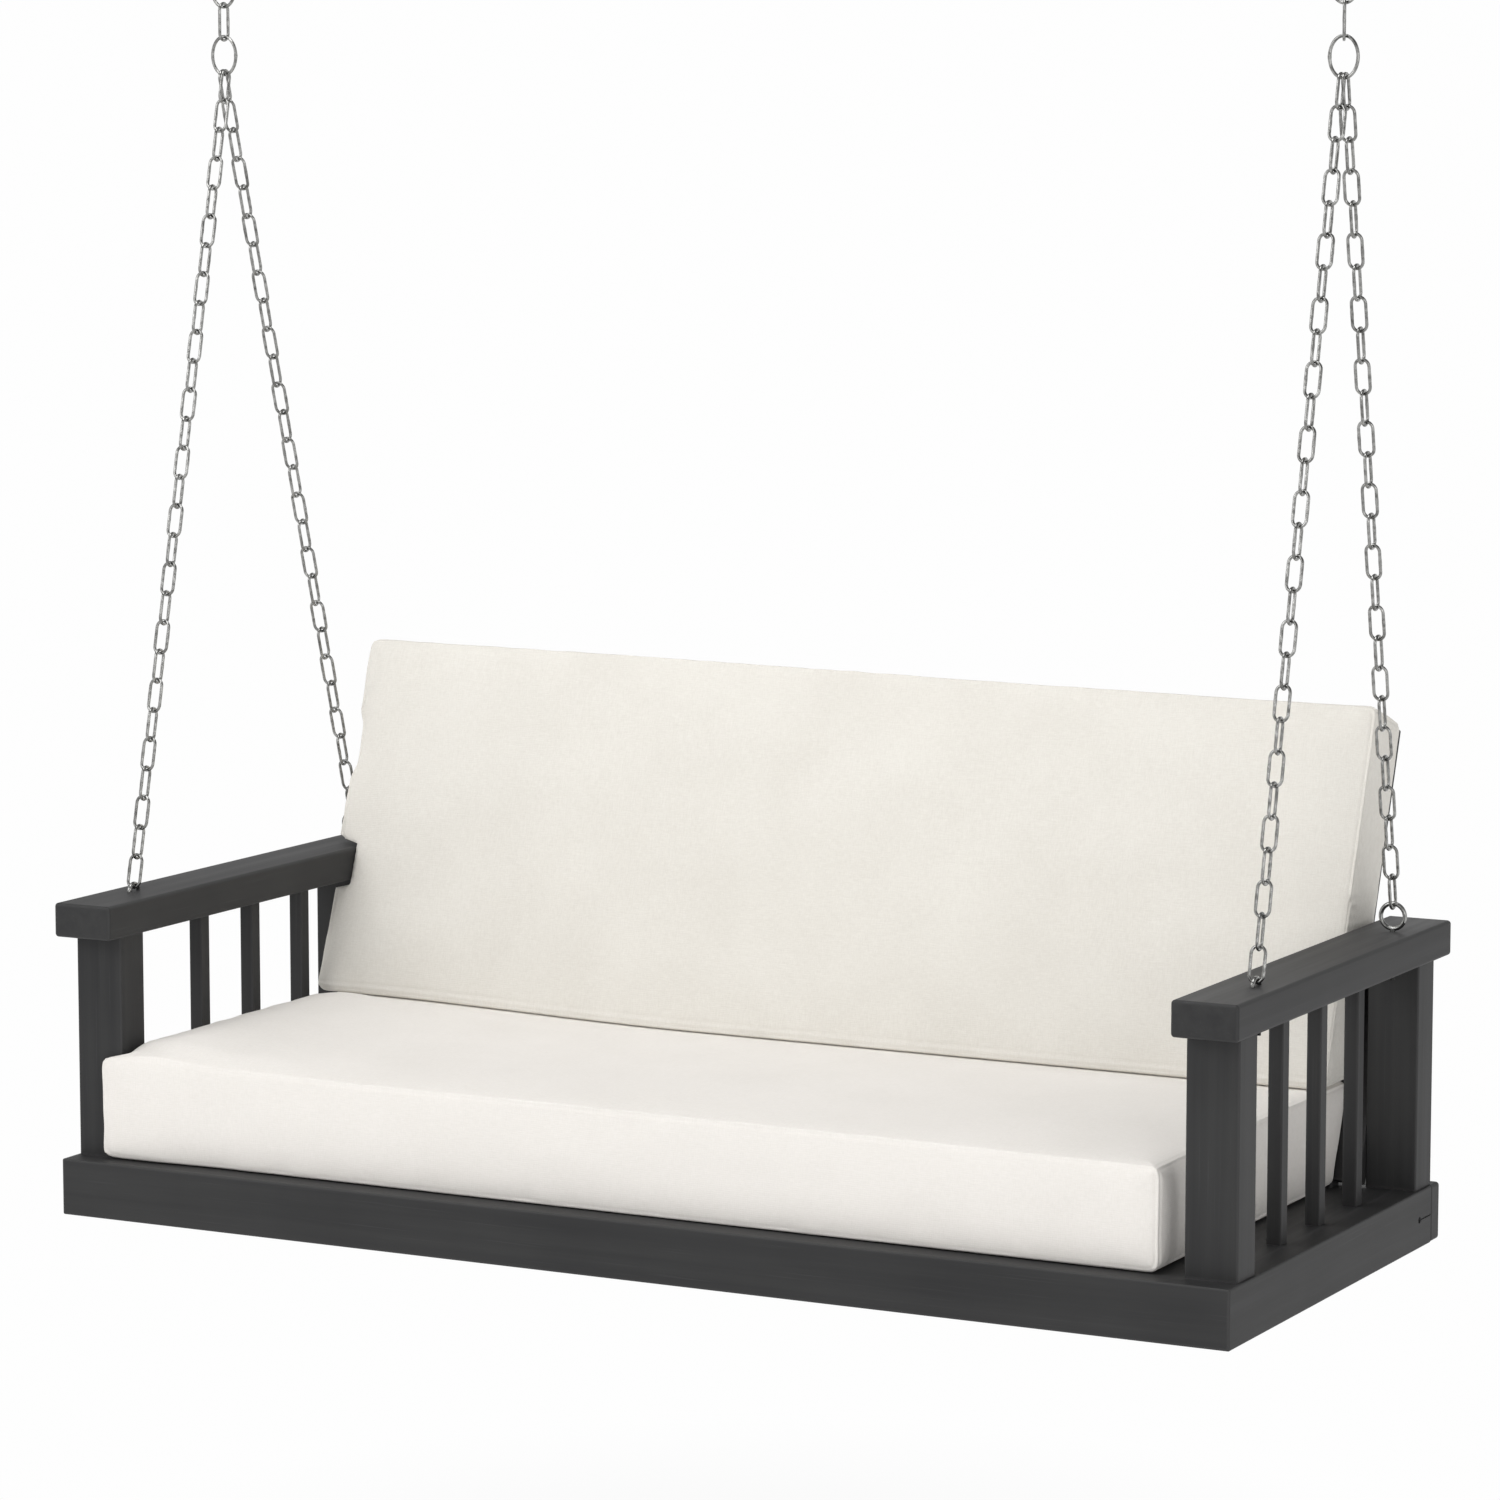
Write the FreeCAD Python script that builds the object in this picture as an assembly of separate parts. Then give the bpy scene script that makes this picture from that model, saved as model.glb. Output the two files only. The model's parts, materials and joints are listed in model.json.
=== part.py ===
"""Porch swing: a slatted wooden seat with arms, a leaning back and two cushions.

It hangs from two ceiling hooks. On each side a ring carries a front and a rear chain,
which spread to an eye near each end of the arm.

The seat is drawn in seat coordinates: x from the middle, y from the front face of the
base towards the back, z up from the underside of the base. Every piece is moved into
the part's own frame as it is written: the origin lies on the ceiling, midway between
the two hooks.
"""
import FreeCAD
import Part
import math
import os

Vec = FreeCAD.Vector
X, Y, Z = Vec(1, 0, 0), Vec(0, 1, 0), Vec(0, 0, 1)

# ---------------------------------------------------------------- driving dimensions, mm
BASE_W, BASE_D, BASE_H = 1400.0, 593.0, 63.0
APRON_T = 27.0              # thickness of the boards round the base
DECK_T = 20.0               # seat slats and side boards, flush with the top of the base
EDGE_R = 2.0                # eased edge of sawn boards
SOFT_EDGE_R = 4.0           # softer edge of the arms and of the rear board

ARM_W, ARM_L, ARM_T = 73.0, 602.0, 38.0
ARM_TOP = 350.0
ARM_OVERHANG = 5.5          # how far an arm stands out beyond the side of the base
POST_W, POST_D = 58.0, 46.0
POST_INSET = 4.0            # from the side of the base
FRONT_POST_Y, REAR_POST_Y = 29.5, 529.0

SPINDLE_T = 16.5
SPINDLE_X = 660.0
SPINDLE_Y = (221.0, 327.0, 433.0)
SPINDLE_EDGE_R = 1.0
TENON_R, TENON_L = 4.0, 10.0
TENON_SLACK = 0.1

SIDE_BOARD_IN = 560.0       # inner edge of the boards under the arms
SEAT_SLATS = 5
SEAT_SLAT_GAP = 14.0
BEARER_W = 40.0
BEARER_X = (-560.0, 0.0, 560.0)
BEARER_FOOT = 3.0           # bearers and corner blocks stop above the base's underside
BLOCK = 60.0                # side of a corner block
MARK_HOLE_R, MARK_FROM_END, MARK_DEPTH, MARK_LINE = 3.6, 34.0, 2.5, 1.8

LEAN = 19.5                 # back frame and back cushion, degrees from upright
BACK_FOOT_Y = 505.0         # front face of the back frame where it stands on the base
BACK_HALF_W = 608.0
BACK_TOP = 548.0
BACK_T = 22.0
BACK_SLATS = 5
STILE_W, TOP_RAIL_H, BOTTOM_RAIL_H, BACK_SLAT_W, BACK_SLAT_T = 62.0, 84.0, 56.0, 96.0, 13.0
BOTTOM_RAIL_Z = 70.0        # height at which the bottom rail's face starts
CLEAT_Z = (72.0, 298.0)     # blocks between the stiles and the rear posts
CLEAT_INSET = 1.0           # cleats are this much thinner than the stiles, front and rear
BACK_BOLT_Z = (145.0, 198.0)
BACK_BOLT_END = 20.0        # left between a bolt's tip and the outer face of the post

SEAT_CUSHION_X = (-634.0, 612.0)
SEAT_CUSHION_FRONT, SEAT_CUSHION_TOP = 26.0, 176.0
BACK_CUSHION_X = (-629.0, 619.0)
BACK_CUSHION_T = 83.5
BACK_CUSHION_TOP = 578.0    # height of its front top edge
OVER_ARM_X = -655.0         # above the left arm the back cushion swells out to here
CUSHION_GAP = 0.6           # a soft piece stays this far from what it lies on

HANG_X, HANG_Y = 677.0, 321.0       # each ring hangs here, over the arm
CEILING = 1430.0                    # above the underside of the base
WIRE = 3.5                          # chain link wire
LINK_W = 19.0                       # outer width of a link
RING_WIRE, RING_W, RING_H = 4.0, 35.0, 47.0
RING_Z = 1278.0                     # centre of the ring that the chains part from
CONTACT = 0.5                       # left between one link's wire and the next
HANGER_SPAN = 33.0                  # between the two ring wires that the hanger link joins
FRONT_LINKS, REAR_LINKS = 28, 27
SPREAD = 2.1                        # the two chains lie side by side in the ring
RING_CONTACT = 1.1                  # more room there, because the ring curves up beside them

FRONT_EYE_Y, FRONT_EYE_WIRE, FRONT_EYE_R, FRONT_EYE_RISE = 115.0, 4.5, 9.0, 8.0
REAR_EYE_Y = {"left": 583.0, "right": 498.0}
REAR_EYE_WIRE, REAR_EYE_OD, REAR_EYE_RISE = 4.8, 32.0, 17.0
REAR_CONTACT = 1.0
EYE_SHANK_R = 3.0
EYE_TAIL = 14.0             # threaded end below the arm, for a washer and a nut
WASHER_R, WASHER_T, NUT_W, NUT_H = 7.5, 1.6, 10.0, 5.0

HOOK_WIRE, HOOK_R = 8.0, 13.0
HOOK_THREAD_R, HOOK_THREAD_L, HOOK_TIP_L, HOOK_TIP_R = 4.75, 60.0, 10.0, 0.6
HOOK_START, HOOK_LOW, HOOK_END = 50.0, -60.0, -200.0   # degrees round the hook's bow
HOOK_COLLAR_R, HOOK_COLLAR_T = 14.0, 4.0

SCREW_R, SCREW_L, SCREW_HEAD_R, SCREW_HEAD_T = 2.2, 34.0, 4.2, 2.6
SCREW_FROM_EDGE, SCREW_FROM_END, SCREW_SLACK = 10.0, 110.0, 0.05
BOLT_R, BOLT_SLACK = 3.0, 0.15
POST_BOLT_HEAD_R, BACK_BOLT_HEAD_R, BOLT_HEAD_T = 7.0, 6.5, 3.0
POST_BOLT_IN, POST_BOLT_L = 6.0, 55.0       # inwards from the post's middle; length in the post
POST_BOLT_TO_REAR = 14.0    # least distance from the rear board
PAST = 1.0                  # how far a cutting tool goes past the face it opens

# ------------------------------------------------------------------- derived positions
HALF_W = BASE_W / 2
DECK_Z = BASE_H - DECK_T
ARM_Z = ARM_TOP - ARM_T
ARM_OUT_X = HALF_W + ARM_OVERHANG
POST_X = HALF_W - POST_INSET - POST_W / 2
REAR_FACE = BASE_D - APRON_T
TAN_LEAN = math.tan(math.radians(LEAN))
COS_LEAN, SIN_LEAN = math.cos(math.radians(LEAN)), math.sin(math.radians(LEAN))
SIDES = (("left", -1), ("right", 1))

parts = {}


# ---------------------------------------------------------------------------- helpers
def box(x0, x1, y0, y1, z0, z1, round_r=0.0):
    """A board between six planes, with all its edges eased by round_r."""
    board = Part.makeBox(x1 - x0, y1 - y0, z1 - z0, Vec(x0, y0, z0))
    return board.makeFillet(round_r, board.Edges) if round_r else board


def mirrored(side, near, far):
    """Two x values measured outwards from the middle, in rising order on that side."""
    return sorted((side * near, side * far))


def prism_yz(points, x0, x1):
    """A solid with the (y, z) outline, between two x planes."""
    ring = [Vec(x0, y, z) for y, z in points]
    return Part.Face(Part.makePolygon(ring + ring[:1])).extrude(X * (x1 - x0))


def wire_sweep(path, wire_d, start, heading):
    """Round wire of diameter wire_d along a smooth path."""
    section = Part.Wire(Part.makeCircle(wire_d / 2, start, heading))
    return path.makePipeShell([section], True, True)


def placed(shape, centre, along, across):
    """Turn a shape so that its own Z lies along one direction and its X across it."""
    third = along.cross(across).normalize()
    side = third.cross(along).normalize()
    rotation = FreeCAD.Rotation(side, third, along, "ZXY")
    moved = shape.copy()
    moved.Placement = FreeCAD.Placement(centre, rotation)
    return moved


def chain_link(length, width, wire_d):
    """A straight-sided link in its own XZ plane, centred; length is to the wire's middle."""
    r = (width - wire_d) / 2
    leg = length / 2 - r
    corners = [Vec(r, 0, -leg), Vec(r, 0, leg), Vec(-r, 0, leg), Vec(-r, 0, -leg)]
    path = Part.Wire([
        Part.LineSegment(corners[0], corners[1]).toShape(),
        Part.Arc(corners[1], Vec(0, 0, leg + r), corners[2]).toShape(),
        Part.LineSegment(corners[2], corners[3]).toShape(),
        Part.Arc(corners[3], Vec(0, 0, -leg - r), corners[0]).toShape(),
    ])
    return wire_sweep(path, wire_d, corners[0], Z)


def back_slab(x0, x1, s0, s1, depth0, depth1, round_r=0.0):
    """A board of the leaning back: s runs up the slope, depth goes in behind its face."""
    slab = box(x0, x1, depth0, depth1, s0, s1, round_r)
    slab.rotate(Vec(0, 0, 0), X, -LEAN)
    slab.translate(Vec(0, BACK_FOOT_Y, BASE_H))
    return slab


def slope(height):
    """How far up the back's slope a height above the base's underside is."""
    return (height - BASE_H) / COS_LEAN


def front_of_back(height):
    """y of the back frame's front face at a height."""
    return BACK_FOOT_Y + (height - BASE_H) * TAN_LEAN


# ------------------------------------------------------------------------------- base
def aprons():
    """Mitred front corners; at the back the rear board covers the ends of the sides."""
    eased = box(-HALF_W, HALF_W, 0, BASE_D, 0, BASE_H, EDGE_R)
    bevel = Part.makePolygon([
        Vec(-HALF_W, 0, 0), Vec(HALF_W, 0, 0), Vec(HALF_W - APRON_T, APRON_T, 0),
        Vec(-HALF_W + APRON_T, APRON_T, 0), Vec(-HALF_W, 0, 0),
    ])
    parts["front_apron"] = Part.Face(bevel).extrude(Z * BASE_H).common(eased)
    parts["rear_apron"] = box(-HALF_W, HALF_W, REAR_FACE, BASE_D, 0, BASE_H, SOFT_EDGE_R)
    for name, side in SIDES:
        outline = [(HALF_W, 0), (HALF_W, REAR_FACE), (HALF_W - APRON_T, REAR_FACE),
                   (HALF_W - APRON_T, APRON_T)]
        ring = [Vec(side * x, y, 0) for x, y in outline]
        board = Part.Face(Part.makePolygon(ring + ring[:1])).extrude(Z * BASE_H).common(eased)
        parts["side_apron_" + name] = board.cut(joint_mark(side))


def joint_mark(side):
    """Filled screw hole and the short saw line from it, near the rear end of each side."""
    hole_y, mid_z = REAR_FACE - MARK_FROM_END, BASE_H / 2
    hole = Part.makeCylinder(
        MARK_HOLE_R, 2 * MARK_DEPTH, Vec(side * HALF_W - MARK_DEPTH, hole_y, mid_z), X)
    x0, x1 = mirrored(side, HALF_W - MARK_DEPTH / 2, HALF_W + MARK_DEPTH)
    return hole.fuse(box(x0, x1, hole_y, REAR_FACE + PAST,
                         mid_z - MARK_LINE / 2, mid_z + MARK_LINE / 2))


def deck():
    """Side boards, seat slats, the bearers below them and the corner blocks."""
    for name, side in SIDES:
        x0, x1 = mirrored(side, SIDE_BOARD_IN, HALF_W - APRON_T)
        parts["side_board_" + name] = box(x0, x1, APRON_T, REAR_FACE, DECK_Z, BASE_H)
    room = REAR_FACE - APRON_T
    slat_w = (room - SEAT_SLAT_GAP * (SEAT_SLATS - 1)) / SEAT_SLATS
    for i in range(SEAT_SLATS):
        y0 = APRON_T + i * (slat_w + SEAT_SLAT_GAP)
        slat = box(-SIDE_BOARD_IN, SIDE_BOARD_IN, y0, y0 + slat_w, DECK_Z, BASE_H)
        parts["seat_slat_%d" % (i + 1)] = slat
    for i, x in enumerate(BEARER_X):
        bearer = box(x - BEARER_W / 2, x + BEARER_W / 2, APRON_T, REAR_FACE, BEARER_FOOT, DECK_Z)
        parts["bearer_%d" % (i + 1)] = bearer
    blocks = []
    for _, side in SIDES:
        x0, x1 = mirrored(side, HALF_W - APRON_T - BLOCK, HALF_W - APRON_T)
        for y0, y1 in ((APRON_T, APRON_T + BLOCK), (REAR_FACE - BLOCK, REAR_FACE)):
            blocks.append(box(x0, x1, y0, y1, BEARER_FOOT, DECK_Z))
    parts["corner_blocks"] = Part.makeCompound(blocks)


# --------------------------------------------------------------- arms, posts, spindles
def arm_sides():
    for name, side in SIDES:
        x0, x1 = mirrored(side, ARM_OUT_X - ARM_W, ARM_OUT_X)
        parts["arm_" + name] = box(x0, x1, 0, ARM_L, ARM_Z, ARM_TOP, SOFT_EDGE_R)
        x = side * POST_X
        for end, y0 in (("front", FRONT_POST_Y), ("rear", REAR_POST_Y)):
            post = box(x - POST_W / 2, x + POST_W / 2, y0, y0 + POST_D, BASE_H, ARM_Z)
            upright = [e for e in post.Edges if abs(e.tangentAt(e.FirstParameter).z) > 0.9]
            parts["post_%s_%s" % (end, name)] = post.makeFillet(EDGE_R, upright)
        for i, y in enumerate(SPINDLE_Y):
            parts["spindle_%s_%d" % (name, i + 1)] = spindle(side * SPINDLE_X, y)
            bores = Part.makeCompound([
                Part.makeCylinder(TENON_R + TENON_SLACK, TENON_L + PAST,
                                  Vec(side * SPINDLE_X, y, z))
                for z in (BASE_H - TENON_L - PAST, ARM_Z)])
            parts["arm_" + name] = parts["arm_" + name].cut(bores)
            parts["side_board_" + name] = parts["side_board_" + name].cut(bores)


def spindle(x, y):
    """Square bar with a round tenon at each end."""
    half = SPINDLE_T / 2
    bar = box(x - half, x + half, y - half, y + half, BASE_H, ARM_Z)
    upright = [e for e in bar.Edges if abs(e.tangentAt(e.FirstParameter).z) > 0.9]
    bar = bar.makeFillet(SPINDLE_EDGE_R, upright)
    tenon = Part.makeCylinder(TENON_R, ARM_Z - BASE_H + 2 * TENON_L, Vec(x, y, BASE_H - TENON_L))
    return bar.fuse(tenon).removeSplitter()


# -------------------------------------------------------------------------------- back
def back_frame():
    """Two stiles, two rails and flat slats, leaning back between the rear posts."""
    top = slope(BACK_TOP)
    rail_x = BACK_HALF_W - STILE_W
    parts["back_top_rail"] = back_slab(-rail_x, rail_x, top - TOP_RAIL_H, top, 0, BACK_T, EDGE_R)
    low = slope(BOTTOM_RAIL_Z)
    parts["back_bottom_rail"] = back_slab(
        -rail_x, rail_x, low, low + BOTTOM_RAIL_H, 0, BACK_T, EDGE_R)
    s0, s1 = low + BOTTOM_RAIL_H, top - TOP_RAIL_H
    gap = (2 * rail_x - BACK_SLATS * BACK_SLAT_W) / (BACK_SLATS + 1)
    inset = (BACK_T - BACK_SLAT_T) / 2
    for i in range(BACK_SLATS):
        x0 = -rail_x + gap + i * (gap + BACK_SLAT_W)
        slat = back_slab(x0, x0 + BACK_SLAT_W, s0, s1, inset, inset + BACK_SLAT_T)
        parts["back_slat_%d" % (i + 1)] = slat
    foot = BACK_T * SIN_LEAN + PAST
    for name, side in SIDES:
        x0, x1 = mirrored(side, rail_x, BACK_HALF_W)
        stile = back_slab(x0, x1, -foot, top, 0, BACK_T, EDGE_R)
        below = box(x0 - PAST, x1 + PAST, 0, BASE_D, 0, BASE_H)
        parts["back_stile_" + name] = stile.cut(below)
    cleats = []
    for _, side in SIDES:
        x0, x1 = mirrored(side, BACK_HALF_W, POST_X - POST_W / 2)
        cleats.append(back_slab(x0, x1, slope(CLEAT_Z[0]), slope(CLEAT_Z[1]),
                                CLEAT_INSET, BACK_T - CLEAT_INSET))
    parts["back_cleats"] = Part.makeCompound(cleats)


# ---------------------------------------------------------------------------- hardware
def drill(names, tool):
    """Cut one tool shape out of several wooden pieces."""
    for name in names:
        parts[name] = parts[name].cut(tool)


def rod(x, y, z0, z1, r):
    return Part.makeCylinder(r, z1 - z0, Vec(x, y, z0))


def hex_nut(x, y, z, across, height, hole_r):
    """Nut whose axis is vertical, standing on z."""
    circum = across / math.sqrt(3)
    ring = [Vec(x + circum * math.cos(math.radians(60 * k)),
                y + circum * math.sin(math.radians(60 * k)), z) for k in range(6)]
    nut = Part.Face(Part.makePolygon(ring + ring[:1])).extrude(Z * height)
    return nut.cut(rod(x, y, z - PAST, z + height + PAST, hole_r))


def front_eye(x):
    """Low U of wire across the arm: its legs go down through the arm, its crown shows."""
    crown = ARM_TOP + FRONT_EYE_RISE
    foot = ARM_Z - EYE_TAIL
    y0, y1 = FRONT_EYE_Y - FRONT_EYE_R, FRONT_EYE_Y + FRONT_EYE_R
    shoulder = crown - FRONT_EYE_R
    path = Part.Wire([
        Part.LineSegment(Vec(x, y0, foot), Vec(x, y0, shoulder)).toShape(),
        Part.Arc(Vec(x, y0, shoulder), Vec(x, FRONT_EYE_Y, crown), Vec(x, y1, shoulder)).toShape(),
        Part.LineSegment(Vec(x, y1, shoulder), Vec(x, y1, foot)).toShape(),
    ])
    return wire_sweep(path, FRONT_EYE_WIRE, Vec(x, y0, foot), Z)


def rear_eye(x, y):
    """Closed ring facing the front, on a short neck and a shank through the arm."""
    ring_r = (REAR_EYE_OD - REAR_EYE_WIRE) / 2
    centre = Vec(x, y, ARM_TOP + REAR_EYE_RISE)
    ring = Part.makeTorus(ring_r, REAR_EYE_WIRE / 2, centre, Y)
    neck_top = centre.z - ring_r
    shank = rod(x, y, ARM_Z - EYE_TAIL, neck_top, EYE_SHANK_R)
    return ring.fuse(shank).removeSplitter()


def eyes():
    washers, nuts = [], []
    for name, side in SIDES:
        x = side * HANG_X
        parts["front_eye_" + name] = front_eye(x)
        parts["rear_eye_" + name] = rear_eye(x, REAR_EYE_Y[name])
        legs = [(y, FRONT_EYE_WIRE / 2) for y in
                (FRONT_EYE_Y - FRONT_EYE_R, FRONT_EYE_Y + FRONT_EYE_R)]
        for y, r in legs + [(REAR_EYE_Y[name], EYE_SHANK_R)]:
            hole = rod(x, y, ARM_Z - EYE_TAIL, ARM_TOP + PAST, r + BOLT_SLACK)
            drill(["arm_" + name], hole)
            washers.append(rod(x, y, ARM_Z - WASHER_T, ARM_Z, WASHER_R).cut(hole))
            nuts.append(hex_nut(x, y, ARM_Z - WASHER_T - NUT_H, NUT_W, NUT_H, r + BOLT_SLACK))
        shoulder = ARM_TOP + FRONT_EYE_RISE - FRONT_EYE_R
        crown_room = Part.makeTorus(
            FRONT_EYE_R, FRONT_EYE_WIRE / 2 + BOLT_SLACK, Vec(x, FRONT_EYE_Y, shoulder), X)
        drill(["arm_" + name], crown_room.common(
            box(x - FRONT_EYE_WIRE, x + FRONT_EYE_WIRE, 0, ARM_L, shoulder, ARM_TOP + FRONT_EYE_R)))
    parts["eye_washers"] = Part.makeCompound(washers)
    parts["eye_nuts"] = Part.makeCompound(nuts)


def wood_screws():
    """Countersunk screws: seat slats and side boards into the bearers, from above."""
    screws = []
    room = REAR_FACE - APRON_T
    slat_w = (room - SEAT_SLAT_GAP * (SEAT_SLATS - 1)) / SEAT_SLATS
    columns = (BEARER_X[0] + SCREW_FROM_EDGE, BEARER_X[1], BEARER_X[2] - SCREW_FROM_EDGE)
    for i in range(SEAT_SLATS):
        y = APRON_T + i * (slat_w + SEAT_SLAT_GAP) + slat_w / 2
        slat = "seat_slat_%d" % (i + 1)
        for k, x in enumerate(columns):
            screws.append(countersunk(x, y))
            drill([slat, "bearer_%d" % (k + 1)], screw_hole(x, y))
    for name, side in SIDES:
        bearer = "bearer_1" if side < 0 else "bearer_3"
        for y in (APRON_T + SCREW_FROM_END, REAR_FACE - SCREW_FROM_END):
            x = side * (SIDE_BOARD_IN + SCREW_FROM_EDGE)
            screws.append(countersunk(x, y))
            drill(["side_board_" + name, bearer], screw_hole(x, y))
    parts["deck_screws"] = Part.makeCompound(screws)


def countersunk(x, y):
    head = Part.makeCone(SCREW_R, SCREW_HEAD_R, SCREW_HEAD_T, Vec(x, y, BASE_H - SCREW_HEAD_T))
    shank = rod(x, y, BASE_H - SCREW_L, BASE_H - SCREW_HEAD_T, SCREW_R)
    return head.fuse(shank).removeSplitter()


def screw_hole(x, y):
    head = Part.makeCone(SCREW_R + SCREW_SLACK, SCREW_HEAD_R + SCREW_SLACK, SCREW_HEAD_T,
                         Vec(x, y, BASE_H - SCREW_HEAD_T))
    return head.fuse(rod(x, y, BASE_H - SCREW_L - PAST, BASE_H, SCREW_R + SCREW_SLACK))


def post_bolts():
    """One bolt up through each corner block and side board into the foot of its post."""
    bolts = []
    for name, side in SIDES:
        x = side * (POST_X - POST_BOLT_IN)
        for end, y in (("front", FRONT_POST_Y + POST_D / 2), ("rear", REAR_POST_Y + POST_D / 2)):
            y = min(y, REAR_FACE - POST_BOLT_TO_REAR)
            head = rod(x, y, BEARER_FOOT - BOLT_HEAD_T, BEARER_FOOT, POST_BOLT_HEAD_R)
            shank = rod(x, y, BEARER_FOOT, BASE_H + POST_BOLT_L, BOLT_R)
            bolts.append(head.fuse(shank).removeSplitter())
            drill(["corner_blocks", "side_board_" + name, "post_%s_%s" % (end, name)],
                  rod(x, y, BEARER_FOOT - PAST, BASE_H + POST_BOLT_L + PAST, BOLT_R + BOLT_SLACK))
    parts["post_bolts"] = Part.makeCompound(bolts)


def back_bolts():
    """Two bolts a side, from the inner edge of each stile through the cleat into the post."""
    bolts = []
    for name, side in SIDES:
        for z in BACK_BOLT_Z:
            y = front_of_back(z) + BACK_T / COS_LEAN / 2
            inner = BACK_HALF_W - STILE_W
            length = HALF_W - POST_INSET - BACK_BOLT_END - inner
            start, way = Vec(side * inner, y, z), X * side
            shank = Part.makeCylinder(BOLT_R, length, start, way)
            head = Part.makeCylinder(BACK_BOLT_HEAD_R, BOLT_HEAD_T, start - way * BOLT_HEAD_T, way)
            bolts.append(head.fuse(shank).removeSplitter())
            hole = Part.makeCylinder(BOLT_R + BOLT_SLACK, length + 2 * PAST, start - way * PAST, way)
            drill(["back_stile_" + name, "back_cleats", "post_rear_" + name], hole)
    parts["back_bolts"] = Part.makeCompound(bolts)


# ------------------------------------------------------------------------------ chains
def oval_ring(x, centre_z):
    """Oval ring of wire facing the front."""
    axes = (RING_H - RING_WIRE) / 2, (RING_W - RING_WIRE) / 2
    centre = Vec(x, HANG_Y, centre_z)
    ellipse = Part.Ellipse(centre + Z * axes[0], centre + X * axes[1], centre)
    path = Part.Wire([ellipse.toShape()])
    return wire_sweep(path, RING_WIRE, centre + Z * axes[0], X)


def chain(start, end, count, reach0, reach1):
    """Links from one wire to another, every second one turned a quarter; first faces the side.

    reach0 and reach1 are how far the end links go past the middles of the wires they hold.
    """
    way = (end - start)
    span = way.Length
    way = way.normalize()
    overlap = WIRE + CONTACT
    pitch = (span - overlap + reach0 + reach1) / count
    length = pitch + overlap
    link = chain_link(length, LINK_W, WIRE)
    links = []
    for i in range(count):
        centre = start + way * (length / 2 - reach0 + i * pitch)
        across = Y if i % 2 == 0 else X
        links.append(placed(link, centre, way, across))
    return Part.makeCompound(links)


def suspension():
    """Rings, hanger links and the four chains."""
    ring_half = (RING_H - RING_WIRE) / 2
    in_ring = (RING_WIRE + WIRE) / 2 + CONTACT
    in_junction = (RING_WIRE + WIRE) / 2 + RING_CONTACT
    upper_z = RING_Z + 2 * ring_half + HANGER_SPAN
    for name, side in SIDES:
        x = side * HANG_X
        parts["junction_ring_" + name] = oval_ring(x, RING_Z)
        parts["upper_ring_" + name] = oval_ring(x, upper_z)
        hanger = chain_link(HANGER_SPAN + 2 * in_ring, LINK_W, WIRE)
        middle = Vec(x, HANG_Y, RING_Z + ring_half + HANGER_SPAN / 2)
        parts["hanger_link_" + name] = placed(hanger, middle, Z, Y)
        ring_foot = Vec(x, HANG_Y, RING_Z - ring_half)
        crown = Vec(x, FRONT_EYE_Y, ARM_TOP + FRONT_EYE_RISE)
        rear_top = Vec(x, REAR_EYE_Y[name],
                       ARM_TOP + REAR_EYE_RISE + (REAR_EYE_OD - REAR_EYE_WIRE) / 2)
        parts["front_chain_" + name] = chain(
            ring_foot - X * side * SPREAD, crown, FRONT_LINKS, in_junction,
            (FRONT_EYE_WIRE + WIRE) / 2 + CONTACT)
        parts["rear_chain_" + name] = chain(
            ring_foot + X * side * SPREAD, rear_top, REAR_LINKS, in_junction,
            (REAR_EYE_WIRE + WIRE) / 2 + REAR_CONTACT)
        parts["ceiling_hook_" + name] = ceiling_hook(x, upper_z + ring_half)


def ceiling_hook(x, held_z):
    """Screw hook: lag-screw shank, collar against the ceiling and a hook open to the front."""
    foot = held_z - (RING_WIRE + HOOK_WIRE) / 2 - CONTACT
    mid = foot + HOOK_R
    turn = math.radians(HOOK_START)
    bend = HOOK_R * math.cos(turn) / (1 - math.cos(turn))
    neck = mid + (HOOK_R + bend) * math.sin(turn)

    def on_hook(deg):
        a = math.radians(deg)
        return Vec(x, HANG_Y + HOOK_R * math.cos(a), mid + HOOK_R * math.sin(a))

    half = turn / 2
    bend_mid = Vec(x, HANG_Y + bend * (1 - math.cos(half)), neck - bend * math.sin(half))
    path = Part.Wire([
        Part.LineSegment(Vec(x, HANG_Y, CEILING), Vec(x, HANG_Y, neck)).toShape(),
        Part.Arc(Vec(x, HANG_Y, neck), bend_mid, on_hook(HOOK_START)).toShape(),
        Part.Arc(on_hook(HOOK_START), on_hook(HOOK_LOW), on_hook(HOOK_END)).toShape(),
    ])
    hook = wire_sweep(path, HOOK_WIRE, Vec(x, HANG_Y, CEILING), Z)
    collar = rod(x, HANG_Y, CEILING - HOOK_COLLAR_T, CEILING, HOOK_COLLAR_R)
    thread = rod(x, HANG_Y, CEILING, CEILING + HOOK_THREAD_L, HOOK_THREAD_R)
    tip_foot = Vec(x, HANG_Y, CEILING + HOOK_THREAD_L)
    tip = Part.makeCone(HOOK_THREAD_R, HOOK_TIP_R, HOOK_TIP_L, tip_foot)
    return hook.fuse([collar, thread, tip]).removeSplitter()


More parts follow.
